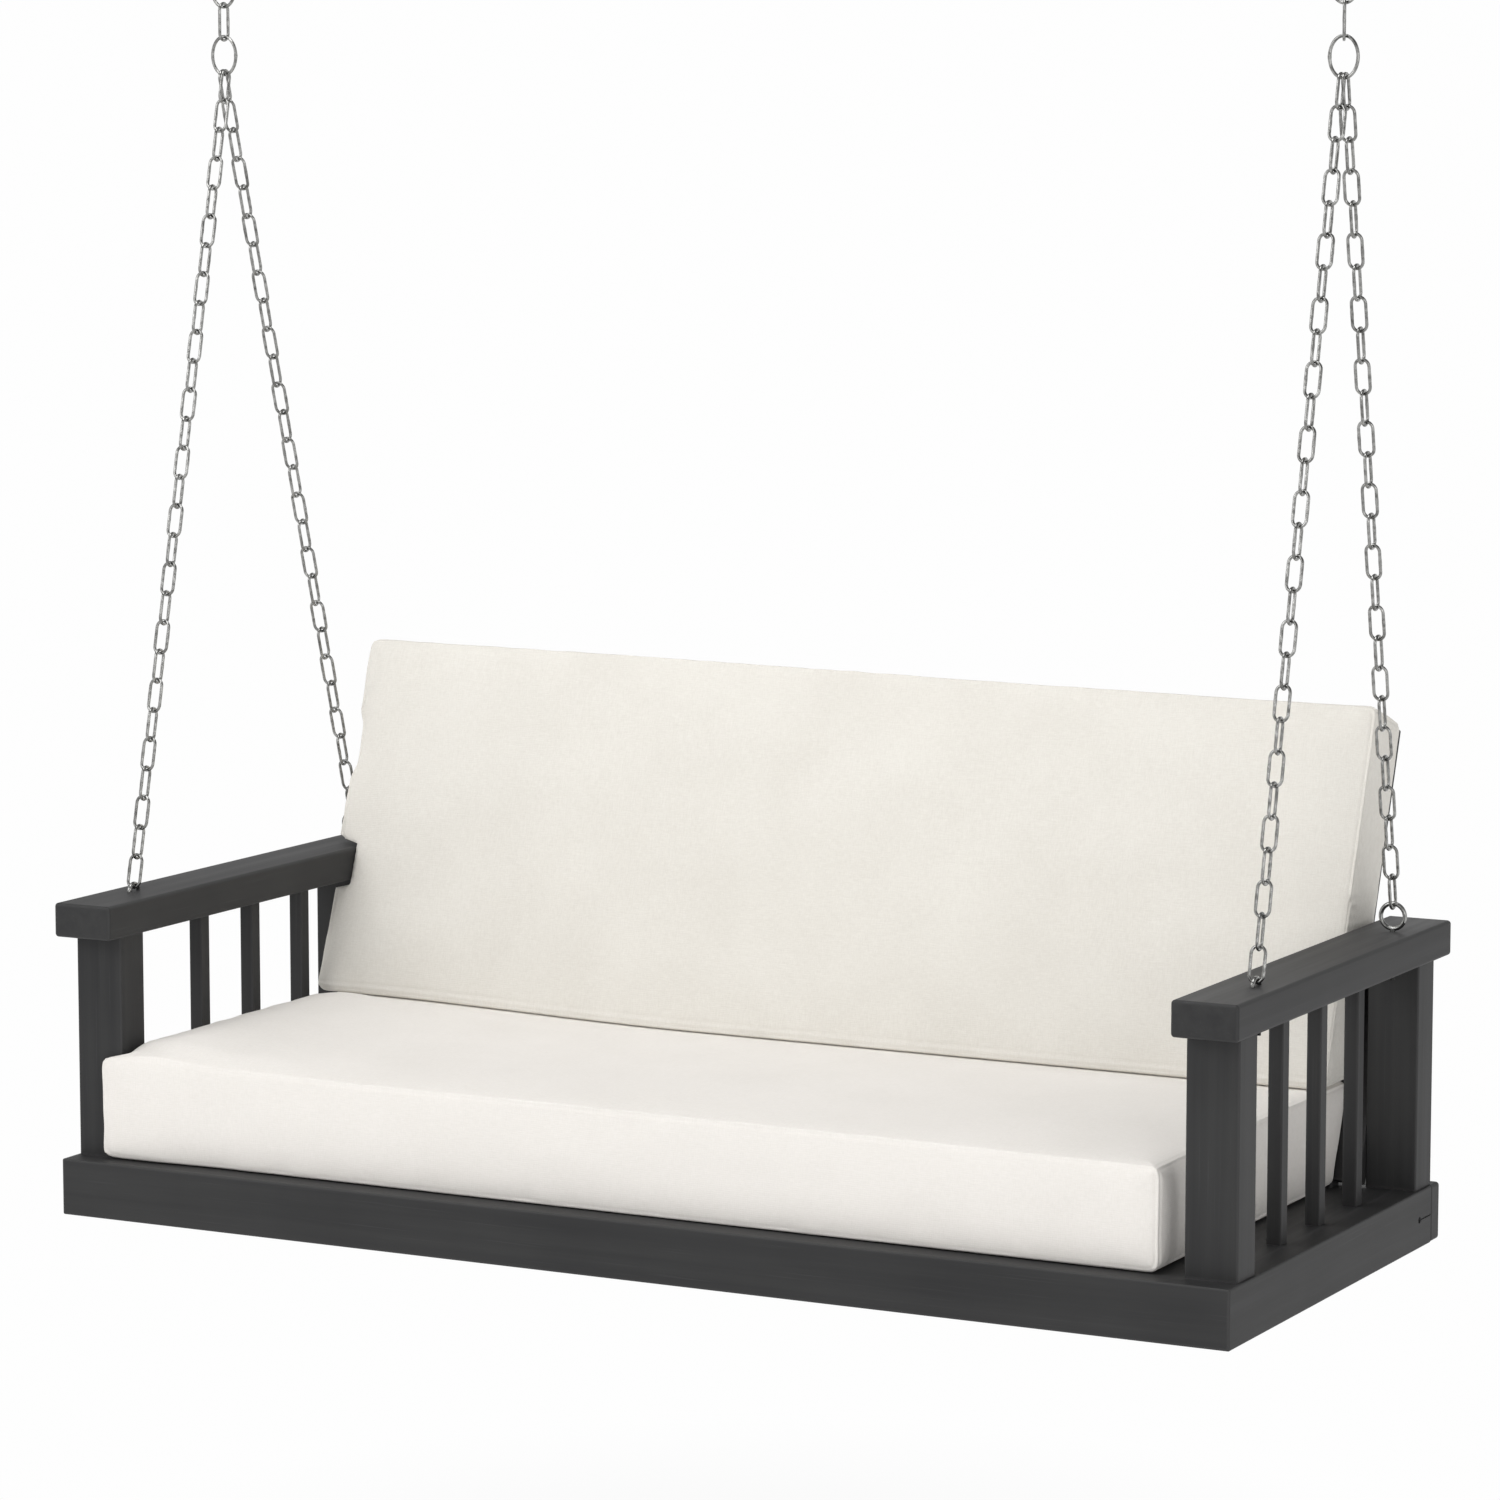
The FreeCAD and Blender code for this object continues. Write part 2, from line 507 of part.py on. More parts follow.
# ---------------------------------------------------------------------------- cushions
def cushions():
    """Plain solids for the two loose cushions; the back one stands on the seat one."""
    gap = CUSHION_GAP / COS_LEAN
    foot, top = BASE_H + CUSHION_GAP, SEAT_CUSHION_TOP
    seat = [(SEAT_CUSHION_FRONT, foot), (front_of_back(foot) - gap, foot),
            (front_of_back(top) - gap, top), (SEAT_CUSHION_FRONT, top)]
    parts["seat_cushion"] = prism_yz(seat, *SEAT_CUSHION_X)
    foot, top = SEAT_CUSHION_TOP + CUSHION_GAP, BACK_CUSHION_TOP
    rear_top = top - BACK_CUSHION_T * SIN_LEAN
    lead = BACK_CUSHION_T / COS_LEAN + gap
    back = [(front_of_back(foot) - lead, foot), (front_of_back(foot) - gap, foot),
            (front_of_back(rear_top) - gap, rear_top), (front_of_back(top) - lead, top)]
    over = prism_yz(back, OVER_ARM_X, BACK_CUSHION_X[0]).common(
        box(OVER_ARM_X, BACK_CUSHION_X[0], 0, 2 * BASE_D, ARM_TOP + CUSHION_GAP, CEILING))
    parts["back_cushion"] = prism_yz(back, *BACK_CUSHION_X).fuse(over).removeSplitter()


def write_parts():
    """Move every piece from seat coordinates into the part's frame and write it."""
    os.makedirs("parts", exist_ok=True)
    for name, shape in parts.items():
        moved = shape.copy()
        moved.translate(Vec(0, -HANG_Y, -CEILING))
        moved.exportStep("parts/%s.step" % name)
    print(len(parts), "pieces written")


aprons()
deck()
arm_sides()
back_frame()
eyes()
wood_screws()
post_bolts()
back_bolts()
suspension()
cushions()
write_parts()
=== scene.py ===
"""Looks of the porch swing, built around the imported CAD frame. Metres, part frame."""
import json
import math
import random

import bmesh
import bpy
import numpy as np
from mathutils import Matrix, Vector, noise


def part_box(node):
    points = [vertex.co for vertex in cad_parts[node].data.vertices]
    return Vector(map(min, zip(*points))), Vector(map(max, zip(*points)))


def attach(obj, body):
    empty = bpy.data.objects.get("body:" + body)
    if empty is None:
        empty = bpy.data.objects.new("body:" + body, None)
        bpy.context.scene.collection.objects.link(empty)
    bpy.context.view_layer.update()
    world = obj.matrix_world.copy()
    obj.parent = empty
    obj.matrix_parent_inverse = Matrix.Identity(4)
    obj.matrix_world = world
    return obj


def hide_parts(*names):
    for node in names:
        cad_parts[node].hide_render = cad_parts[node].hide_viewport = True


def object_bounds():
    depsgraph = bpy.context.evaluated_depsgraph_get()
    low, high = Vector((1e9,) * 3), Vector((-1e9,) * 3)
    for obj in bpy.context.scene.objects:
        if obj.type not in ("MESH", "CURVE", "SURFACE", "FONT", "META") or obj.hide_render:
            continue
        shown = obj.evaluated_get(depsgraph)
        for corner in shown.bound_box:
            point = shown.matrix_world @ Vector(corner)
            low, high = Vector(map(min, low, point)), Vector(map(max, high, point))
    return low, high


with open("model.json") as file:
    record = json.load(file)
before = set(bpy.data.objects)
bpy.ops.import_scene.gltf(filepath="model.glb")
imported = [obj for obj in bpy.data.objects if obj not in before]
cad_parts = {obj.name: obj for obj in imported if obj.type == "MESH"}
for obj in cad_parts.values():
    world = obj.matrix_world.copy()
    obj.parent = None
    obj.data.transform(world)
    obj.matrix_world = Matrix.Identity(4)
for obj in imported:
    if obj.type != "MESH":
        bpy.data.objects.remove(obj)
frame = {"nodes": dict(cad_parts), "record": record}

CAD_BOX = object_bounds()
NODES = frame["nodes"]
BODIES = frame["record"]["behaviour"]["bodies"]
SIDES = (("left", -1), ("right", 1))
scene = bpy.context.scene

# Nodes by how their names start: steel ones, and those with their grain along the slope.
METAL = ("front_eye", "rear_eye", "ceiling_hook", "junction", "upper_ring", "hanger",
         "front_chain", "rear_chain")
LEANING = ("back_stile", "back_top", "back_bottom", "back_slat", "back_cleat")
# More steel nodes, in the shade below the arms or inside the wood; their zinc is painted darker, as
# painted shade.
UNSEEN = ("eye_nuts", "eye_washers", "deck_screws", "post_bolts", "back_bolts")

LEAN = math.radians(19.5)                     # of the back frame and the back cushion

# Camera, fitted to the corners of the base and the arms.
CAMERA_PLACE = (2.73819, -5.25355, -0.14129)
CAMERA_YAW, CAMERA_DOWN = 27.575, 7.339       # degrees
CAMERA_LENS, CAMERA_SENSOR = 131.16, 36.0     # mm
CAMERA_CLIP = (0.1, 100.0)

# Stage. The floor glows nearly as bright as the background, and fully beyond FLOOR_FADE.
FLOOR_DROP, FLOOR_RADIUS, FLOOR_SIDES = 0.45, 60.0, 96
FLOOR_FADE, FLOOR_GLOW = 0.9, 0.88
FLOOR_GREY, BACKGROUND_GREY, OVERHEAD_GREY = 0.9, 0.99, 0.3
HORIZON_TOP, OVERHEAD_FROM = 0.10, 0.7        # heights in the sky, from 0 to 1
LIGHTS = (                                    # name, place, width and height, watts
    ("key", (-2.2, -3.8, 1.5), (2.4, 1.8), 53),
    ("top", (-0.4, -0.8, 2.3), (2.8, 1.6), 64),
    ("fill", (3.3, -3.0, -0.2), (1.4, 1.8), 17),
    ("back", (-0.6, 3.6, 1.2), (2.0, 1.2), 14),
)

# Paint. The scales are of noise, across and along the grain.
# The last colour lightens the board edges, as rubbed paint and as painted highlight.
PAINT_DARK, PAINT_LIGHT, PAINT_FLECK, PAINT_WORN_AND_HIGHLIGHT = "2d2d2e", "393939", "444444", "5c5c5c"
STREAK_SCALE, PORE_SCALE = (70.0, 1.6), (420.0, 7.0)
WORN_AND_HIGHLIGHT_FROM, WORN_AND_HIGHLIGHT_TO, WORN_AND_HIGHLIGHT_RAGGED = 0.0004, 0.0032, 0.004     # distances from an edge
WORN_AND_HIGHLIGHT_SHARE = 0.2

# Zinc
ZINC_BRIGHT, ZINC_DULL = "a8a8a6", "646462"
# Zinc painted darker as shade, for the steel in the shade below the arms or inside the wood.
PAINTED_SHADE_LIGHT, PAINTED_SHADE_DULL = "464645", "2e2e2d"
# Grime is dirt; the second colour is painted shade for the eyes' tails below the arms.
GRIME, TAIL_PAINTED_SHADE = "4a4947", "2e2e2d"
BELOW_ALL = -10.0                             # lower than any piece
TAIL_FADE = 0.002

# Linen
SEAT_LIGHT, SEAT_DARK = "f2eee9", "e8e4de"
# The back cushion's cloth is painted darker than the seat's, as painted shade.
BACK_SHADED_LIGHT, BACK_SHADED_DARK = "e6e3dc", "d8d4cc"
# Painted shade in the hollows between the threads.
THREAD_GAP_SHADE = "cfc9bf"
THREAD_PITCH = 0.0011

# Wire of links and rings, as shares of its radius.
ARC_STEPS, LEG_STEPS, LINK_SIDES = 14, 7, 12
BEND_THIN, WELD_THICK, WELD_LENGTH = 0.05, 0.13, 0.13
RING_STEPS, RING_SIDES = 56, 16
RING_THIN, RING_WELD_THICK, RING_WELD_LENGTH = 0.92, 0.16, 0.018
HANGER_SPIN = {"left": 4.0, "right": -22.0}   # degrees about the upright

# Cushions
GRID_FINE, GRID_EDGE, GRID_COARSE = 0.003, 0.018, 0.0095
ON_PANEL = 1e-6                               # a point this near a side of the block is on it
CORNER_R = 0.015                              # of the front outline
PULL_IN, PULL_FRONT = 0.0025, 1.4             # of the seams, and times this front and rear
SEAM_HELD = 0.005                             # cloth this near a seam doesn't move
PRESSURE, BLOW_FRAMES = 4.0, 14
WELT, GROOVE, PUCKER, UNEVEN = 0.0011, -0.0011, 0.0011, 0.0022
SEAM_BOLD, SEAM_FAINT = 0.7, 0.4              # upright seams stand out more than the others
RESTING_SHARE = 0.15                          # of the relief on the underside
CLEAR = 0.0005                                # gap above the deck and below the back cushion


def linear(hex_colour):
    """Scene-linear RGBA of an sRGB colour such as 'ece8e0'."""
    values = [int(hex_colour[i:i + 2], 16) / 255 for i in (0, 2, 4)]
    return tuple(v / 12.92 if v <= 0.04045 else ((v + 0.055) / 1.055) ** 2.4 for v in values) + (1,)


def grey(value):
    return (value, value, value, 1)


# ------------------------------------------------------------------ camera, stage, light
def make_camera():
    data = bpy.data.cameras.new("camera")
    data.lens, data.sensor_width = CAMERA_LENS, CAMERA_SENSOR
    data.clip_start, data.clip_end = CAMERA_CLIP
    camera = bpy.data.objects.new("camera", data)
    camera.location = CAMERA_PLACE
    camera.rotation_euler = (math.radians(90 - CAMERA_DOWN), 0, math.radians(CAMERA_YAW))
    scene.collection.objects.link(camera)
    scene.camera = camera


def area_light(name, location, target, size, power):
    data = bpy.data.lights.new(name, "AREA")
    data.shape, data.size, data.size_y = "RECTANGLE", size[0], size[1]
    data.energy = power
    lamp = bpy.data.objects.new(name, data)
    lamp.location = location
    lamp.rotation_euler = (Vector(target) - Vector(location)).to_track_quat("-Z", "Y").to_euler()
    scene.collection.objects.link(lamp)


class Graph:
    """A small helper for building node trees."""

    def __init__(self, tree):
        self.tree = tree

    def node(self, kind, inputs=None, **settings):
        made = self.tree.nodes.new("ShaderNode" + kind)
        for key, value in settings.items():
            setattr(made, key, value)
        for key, value in (inputs or {}).items():
            self.put(made.inputs[key], value)
        return made

    def put(self, socket, value):
        if isinstance(value, bpy.types.NodeSocket):
            self.tree.links.new(value, socket)
        else:
            socket.default_value = value

    def math(self, operation, *values):
        made = self.node("Math", operation=operation)
        for i, value in enumerate(values):
            self.put(made.inputs[i], value)
        return made.outputs[0]

    def vector(self, operation, *values):
        made = self.node("VectorMath", operation=operation)
        for i, value in enumerate(values):
            self.put(made.inputs[i], value)
        return made.outputs[0]

    def split(self, vector):
        return list(self.node("SeparateXYZ", {0: vector}).outputs)

    def total(self, a, share_a, b, share_b):
        """a * share_a + b * share_b"""
        return self.math("ADD", self.math("MULTIPLY", a, share_a),
                         self.math("MULTIPLY", b, share_b))

    def fade(self, factor, a, b):
        """a where factor is 0, b where it is 1"""
        return self.total(a, self.math("SUBTRACT", 1.0, factor), b, factor)

    def mix(self, factor, a, b):
        """The same as fade, for colours."""
        made = self.node("Mix", data_type="RGBA")
        self.put(made.inputs[0], factor)
        self.put(made.inputs[6], a)
        self.put(made.inputs[7], b)
        return made.outputs[2]

    def noise(self, vector, scale, detail, roughness):
        made = self.node("TexNoise", {"Vector": vector, "Scale": scale, "Detail": detail,
                                      "Roughness": roughness})
        return made.outputs[0]

    def span(self, value, low, high, out_low=0.0, out_high=1.0, smooth=False):
        made = self.node("MapRange", {0: value, 1: low, 2: high, 3: out_low, 4: out_high},
                         clamp=True, interpolation_type="SMOOTHSTEP" if smooth else "LINEAR")
        return made.outputs[0]


def new_material(name):
    material = bpy.data.materials.new(name)
    material.use_nodes = True
    material.node_tree.nodes.clear()
    graph = Graph(material.node_tree)
    out = graph.node("OutputMaterial")
    return material, graph, out


def principled(graph, out, **sockets):
    shader = graph.node("BsdfPrincipled")
    for key, value in sockets.items():
        graph.put(shader.inputs[key.replace("_", " ")], value)
    graph.put(out.inputs["Surface"], shader.outputs[0])


def make_floor(floor_z):
    """A wide pale floor that turns into the background."""
    bm = bmesh.new()
    bmesh.ops.create_circle(bm, cap_ends=True, segments=FLOOR_SIDES, radius=FLOOR_RADIUS)
    bmesh.ops.translate(bm, verts=bm.verts, vec=(0, 0, floor_z))
    mesh = bpy.data.meshes.new("floor")
    bm.to_mesh(mesh)
    bm.free()
    floor = bpy.data.objects.new("floor", mesh)
    scene.collection.objects.link(floor)
    material, g, out = new_material("pale_floor")
    place = g.node("TexCoord").outputs["Object"]
    away = g.vector("MULTIPLY", place, (1, 1, 0))
    distance = g.node("VectorMath", {0: away}, operation="LENGTH").outputs["Value"]
    diffuse = g.node("BsdfDiffuse", {"Color": grey(FLOOR_GREY)})
    glow = g.node("Emission", {"Color": grey(BACKGROUND_GREY), "Strength": 1.0})
    both = g.node("MixShader", {0: g.span(distance, 0.0, FLOOR_FADE, FLOOR_GLOW, 1.0)})
    g.put(both.inputs[1], diffuse.outputs[0])
    g.put(both.inputs[2], glow.outputs[0])
    g.put(out.inputs["Surface"], both.outputs[0])
    mesh.materials.append(material)


def make_world():
    """Bright around the horizon, greyer overhead."""
    world = bpy.data.worlds.new("studio")
    world.use_nodes = True
    world.node_tree.nodes.clear()
    g = Graph(world.node_tree)
    _, _, height = g.split(g.node("TexCoord").outputs["Generated"])
    shade = g.span(height, HORIZON_TOP, OVERHEAD_FROM, BACKGROUND_GREY, OVERHEAD_GREY, smooth=True)
    colour = g.node("CombineColor", {0: shade, 1: shade, 2: shade}).outputs[0]
    sky = g.node("Background", {"Color": colour, "Strength": 1.0})
    g.put(g.node("OutputWorld").inputs["Surface"], sky.outputs[0])
    scene.world = world


def make_stage():
    low, high = CAD_BOX
    make_floor(low.z - FLOOR_DROP)
    make_world()
    for name, place, size, power in LIGHTS:
        area_light(name, place, (low + high) / 2, size, power)
    scene.view_settings.view_transform = "Standard"


# ------------------------------------------------------------------------------ materials
def coordinates(mesh):
    co = np.empty(len(mesh.vertices) * 3)
    mesh.vertices.foreach_get("co", co)
    return co.reshape(-1, 3)


def charcoal_paint(node):
    """Satin charcoal paint over long grain, with edges painted a little lighter: rubbed paint and
    painted highlight.
    """
    turn = LEAN if node.startswith(LEANING) else 0.0
    co = coordinates(NODES[node].data) @ np.array(Matrix.Rotation(turn, 3, "X")).T
    low, high = co.min(0), co.max(0)
    half, centre = (high - low) / 2, (high + low) / 2
    grain = int(np.argmax(half))
    material, g, out = new_material("paint_" + node)
    place = g.node("TexCoord").outputs["Object"]
    own = g.node("Mapping", {"Vector": place, "Rotation": (turn, 0, 0)}).outputs[0]

    seed = random.Random(node).uniform(0, 40)
    shifted = g.vector("ADD", own, (seed, seed / 3, seed / 7))

    def along_grain(scales, detail, roughness):
        stretch = [scales[0]] * 3
        stretch[grain] = scales[1]
        return g.noise(g.vector("MULTIPLY", shifted, tuple(stretch)), 1.0, detail, roughness)

    streaks = along_grain(STREAK_SCALE, 4.0, 0.55)
    pores = along_grain(PORE_SCALE, 2.0, 0.6)
    clouds = g.noise(shifted, 7.0, 3.0, 0.5)

    # The middle one of a point's three distances to the board's sides is small near an edge.
    inside = g.vector("SUBTRACT", tuple(half),
                      g.vector("ABSOLUTE", g.vector("SUBTRACT", own, tuple(centre))))
    a, b, c = g.split(inside)
    middle = g.math("MAXIMUM", g.math("MINIMUM", a, b),
                    g.math("MINIMUM", g.math("MAXIMUM", a, b), c))
    ragged = g.math("MULTIPLY", g.math("SUBTRACT", streaks, 0.5), WORN_AND_HIGHLIGHT_RAGGED)
    # Edges are painted lighter, partly as rubbed paint and partly as a painted highlight along
    # them.
    worn_and_highlight = g.span(g.math("ADD", middle, ragged), WORN_AND_HIGHLIGHT_FROM, WORN_AND_HIGHLIGHT_TO, 1.0, 0.0, smooth=True)

    tone = g.total(streaks, 0.6, clouds, 0.4)
    body = g.mix(g.span(tone, 0.35, 0.68), linear(PAINT_DARK), linear(PAINT_LIGHT))
    flecked = g.mix(g.span(pores, 0.62, 0.8, 0.0, 0.45), body, linear(PAINT_FLECK))
    colour = g.mix(g.math("MULTIPLY", worn_and_highlight, WORN_AND_HIGHLIGHT_SHARE), flecked, linear(PAINT_WORN_AND_HIGHLIGHT))
    rough = g.math("ADD", g.span(streaks, 0.3, 0.7, 0.48, 0.6),
                   g.math("MULTIPLY", worn_and_highlight, 0.06))
    height = g.total(streaks, 0.7, pores, 0.3)
    bump = g.node("Bump", {"Strength": 0.28, "Distance": 0.0007, "Height": height})
    principled(g, out, Base_Color=colour, Roughness=rough, Normal=bump.outputs[0],
               Specular_IOR_Level=0.2)
    return material


def zinc(name, bright=ZINC_BRIGHT, dull=ZINC_DULL, rough=(0.14, 0.26), painted_shade_below=BELOW_ALL):
    """Zinc plating with a faint mottle and fine scratches, and painted shade below a height."""
    material, g, out = new_material(name)
    place = g.node("TexCoord").outputs["Object"]
    mottle = g.noise(place, 160.0, 4.0, 0.6)
    scratch = g.noise(g.vector("MULTIPLY", place, (1500.0, 1500.0, 260.0)), 1.0, 2.0, 0.6)
    grime = g.noise(place, 35.0, 3.0, 0.5)
    colour = g.mix(g.span(mottle, 0.35, 0.7), linear(bright), linear(dull))
    colour = g.mix(g.span(grime, 0.56, 0.75, 0.0, 0.45), colour, linear(GRIME))
    _, _, height = g.split(place)
    # Painted shade: below that height the zinc is painted dark, as the shade under the arm.
    tail_shade = g.span(height, painted_shade_below, painted_shade_below + TAIL_FADE, 1.0, 0.0)
    colour = g.mix(tail_shade, colour, linear(TAIL_PAINTED_SHADE))
    roughness = g.math("ADD", g.span(mottle, 0.3, 0.7, rough[0], rough[1]),
                       g.span(scratch, 0.5, 0.8, 0.0, 0.05))
    bump = g.node("Bump", {"Strength": 0.12, "Distance": 0.0002, "Height": scratch})
    principled(g, out, Base_Color=colour, Metallic=1.0, Roughness=roughness,
               Normal=bump.outputs[0])
    return material


def linen(name, turn, light, dark):
    """Plain woven upholstery cloth; its threads follow each face's own directions."""
    material, g, out = new_material(name)
    place = g.node("TexCoord").outputs["Object"]
    normal = g.node("TexCoord").outputs["Normal"]
    own = g.node("Mapping", {"Vector": place, "Rotation": (turn, 0, 0)}).outputs[0]
    facing = g.vector("ABSOLUTE", g.node(
        "Mapping", {"Vector": normal, "Rotation": (turn, 0, 0)}).outputs[0])
    x, y, z = g.split(own)
    sideways, _, upwards = g.split(facing)

    def yarn(across, along):
        """Round threads side by side, passing over and under the other set."""
        turns = math.pi / THREAD_PITCH
        over = g.math("SINE", g.math("MULTIPLY", along, turns))
        ridge = g.math("ABSOLUTE", g.math("SINE", g.math("MULTIPLY", across, turns)))
        return g.total(ridge, 0.6, over, 0.2)

    def weave(p, q):
        return g.math("ADD", yarn(p, q), yarn(q, p))

    on_sides, on_front, on_top = weave(y, z), weave(x, z), weave(x, y)
    cloth = g.fade(g.span(upwards, 0.6, 0.75), on_front, on_top)
    cloth = g.fade(g.span(sideways, 0.6, 0.75), cloth, on_sides)
    weft = g.noise(g.vector("MULTIPLY", own, (120.0, 900.0, 1100.0)), 1.0, 3.0, 0.6)
    warp = g.noise(g.vector("MULTIPLY", own, (1100.0, 160.0, 140.0)), 1.0, 3.0, 0.6)
    slub = g.math("MULTIPLY", g.math("ADD", weft, warp), 0.5)
    patches = g.noise(own, 9.0, 3.0, 0.5)
    tone = g.total(slub, 0.75, patches, 0.25)
    colour = g.mix(g.span(tone, 0.36, 0.66), linear(light), linear(dark))
    # Painted shade: the hollows between the threads are painted darker.
    colour = g.mix(g.span(cloth, 0.2, 0.0, 0.0, 0.2), colour, linear(THREAD_GAP_SHADE))
    height = g.total(cloth, 0.5, slub, 0.9)
    bump = g.node("Bump", {"Strength": 0.35, "Distance": 0.0006, "Height": height})
    principled(g, out, Base_Color=colour, Roughness=g.span(slub, 0.3, 0.7, 0.86, 0.97),
               Normal=bump.outputs[0], Sheen_Weight=0.12, Sheen_Roughness=0.5,
               Specular_IOR_Level=0.2)
    return material


def give(obj, material):
    obj.data.materials.clear()
    obj.data.materials.append(material)


# ----------------------------------------------------------------------------- mesh tools
def make_mesh(name, points, faces):
    mesh = bpy.data.meshes.new(name)
    mesh.from_pydata([tuple(p) for p in points], [], faces)
    return mesh


def new_piece(name, verts, faces, material, body):
    mesh = make_mesh(name, verts, faces)
    mesh.validate()
    mesh.polygons.foreach_set("use_smooth", [True] * len(mesh.polygons))
    obj = bpy.data.objects.new(name, mesh)
    scene.collection.objects.link(obj)
    give(obj, material)
    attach(obj, body)
    return obj


def body_of(node):
    return next(body for body, members in BODIES.items() if node in members)


def closed_tube(points, radii, sides, up):
    """Vertices and faces of a closed loop of round wire with the given radius at each point."""
    count = len(points)
    tangents = [(points[(i + 1) % count] - points[i - 1]).normalized() for i in range(count)]
    normal = up.normalized()
    verts, faces = [], []
    for point, tangent, radius in zip(points, tangents, radii):
        normal = (normal - tangent * normal.dot(tangent)).normalized()
        other = tangent.cross(normal)
        for k in range(sides):
            a = 2 * math.pi * k / sides
            verts.append(point + (normal * math.cos(a) + other * math.sin(a)) * radius)
    for i in range(count):
        j = (i + 1) % count
        for k in range(sides):
            m = (k + 1) % sides
            faces.append((i * sides + k, i * sides + m, j * sides + m, j * sides + k))
    return verts, faces


def joined(shapes):
    verts, faces = [], []
    for v, f in shapes:
        base = len(verts)
        verts += list(v)
        faces += [tuple(i + base for i in face) for face in f]
    return verts, faces


def moved(shape, matrix):
    return [matrix @ Vector(v) for v in shape[0]], shape[1]


def islands(mesh):
    """The separate solids of a CAD node, each as an array of its points."""
    co = coordinates(mesh)
    edges = np.empty(len(mesh.edges) * 2, np.int64)
    mesh.edges.foreach_get("vertices", edges)
    _, first, same = np.unique(np.round(co * 1e6).astype(np.int64), axis=0,
                               return_index=True, return_inverse=True)
    same = same.reshape(-1)
    a, b = same[edges[0::2]], same[edges[1::2]]
    label = np.arange(len(first))
    while True:
        least = np.minimum(label[a], label[b])
        new = label.copy()
        np.minimum.at(new, a, least)
        np.minimum.at(new, b, least)
        new = new[new]
        if (new == label).all():
            break
        label = new
    points = co[first]
    return [points[label == k] for k in np.unique(label)]


def link_frame(points):
    """Centre, axes (width, thickness, length) and sizes of one link."""
    middle = points.mean(0)
    _, axes = np.linalg.eigh(np.cov((points - middle).T))
    length, width = Vector(axes[:, 2]), Vector(axes[:, 1])
    if length.z > 0:
        length.negate()
    if width.x + width.y < 0:
        width.negate()
    thick = length.cross(width)
    basis = np.array([width, thick, length])
    local = points @ basis.T
    low, high = local.min(0), local.max(0)
    centre = basis.T @ ((low + high) / 2)
    return Vector(centre), (width, thick, length), high - low


def link_shape(length, width, wire, weld_side, rng):
    """A welded link in its own XZ plane; length and width are the outer sizes."""
    r = (width - wire) / 2
    leg = (length - wire) / 2 - r
    path, radii = [], []
    for end in (1, -1):
        for k in range(ARC_STEPS + 1):
            a = math.pi * k / ARC_STEPS
            path.append(Vector((end * r * math.cos(a), 0, end * (leg + r * math.sin(a)))))
            radii.append(wire / 2 * (1.0 - BEND_THIN * math.sin(a)))
        side = -end
        for k in range(1, LEG_STEPS):
            t = k / LEG_STEPS
            path.append(Vector((side * r, 0, end * leg * (1 - 2 * t))))
            swell = math.exp(-((t - 0.5) / WELD_LENGTH) ** 2) if side == weld_side else 0.0
            radii.append(wire / 2 * (1.0 + WELD_THICK * swell))
    wobble = rng.uniform(-0.03, 0.03)
    path = [Vector((p.x * (1 + wobble * p.z / length), 0, p.z)) for p in path]
    return closed_tube(path, radii, LINK_SIDES, Vector((0, 1, 0)))


def axes_matrix(centre, axes, spin):
    matrix = Matrix.Identity(4)
    for column, axis in enumerate(axes):
        for row in range(3):
            matrix[row][column] = axis[row]
    return Matrix.Translation(centre) @ matrix @ Matrix.Rotation(spin, 4, "Z")


def chain_pieces(metal):
    """Every link of the four chains; those between the end links are turned a little."""
    for end in ("front", "rear"):
        for side, _ in SIDES:
            node = "%s_chain_%s" % (end, side)
            rng = random.Random(node)
            solids = [link_frame(p) for p in islands(NODES[node].data)]
            solids.sort(key=lambda s: -s[0].z)
            shapes = []
            for i, (centre, axes, size) in enumerate(solids):
                link = link_shape(size[2], size[0], size[1], rng.choice((-1, 1)), rng)
                spin = math.radians(rng.uniform(-4, 4)) if 0 < i < len(solids) - 1 else 0.0
                shapes.append(moved(link, axes_matrix(centre, axes, spin)))
            verts, faces = joined(shapes)
            piece = new_piece(node + "_links", verts, faces, metal, body_of(node))
            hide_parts(node)


def ring_shape(low, high, weld):
    """An oval wire ring that fills the box; weld is the share of a turn where it is welded."""
    centre, size = (low + high) / 2, high - low
    wire = size.y
    half_w, half_h = (size.x - wire) / 2, (size.z - wire) / 2
    path, radii = [], []
    for k in range(RING_STEPS):
        t = k / RING_STEPS
        a = 2 * math.pi * t
        path.append(centre + Vector((half_w * math.cos(a), 0, half_h * math.sin(a))))
        off = min(abs(t - weld), 1 - abs(t - weld))
        swell = math.exp(-(off / RING_WELD_LENGTH) ** 2)
        radii.append(wire / 2 * (RING_THIN + RING_WELD_THICK * swell))
    return closed_tube(path, radii, RING_SIDES, Vector((0, 1, 0)))


def ring_pieces(metal):
    """Oval rings with a weld at one side, and the hanger links between them."""
    for place in ("junction_ring", "upper_ring"):
        for side, sign in SIDES:
            node = "%s_%s" % (place, side)
            low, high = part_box(node)
            verts, faces = ring_shape(low, high, 0.5 if sign > 0 else 0.0)
            piece = new_piece(node + "_wire", verts, faces, metal, body_of(node))
            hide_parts(node)
    for side, _ in SIDES:
        node = "hanger_link_" + side
        centre, axes, size = link_frame(islands(NODES[node].data)[0])
        link = link_shape(size[2], size[0], size[1], 1, random.Random(node))
        verts, faces = moved(link, axes_matrix(centre, axes, math.radians(HANGER_SPIN[side])))
        piece = new_piece(node + "_wire", verts, faces, metal, body_of(node))
        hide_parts(node)


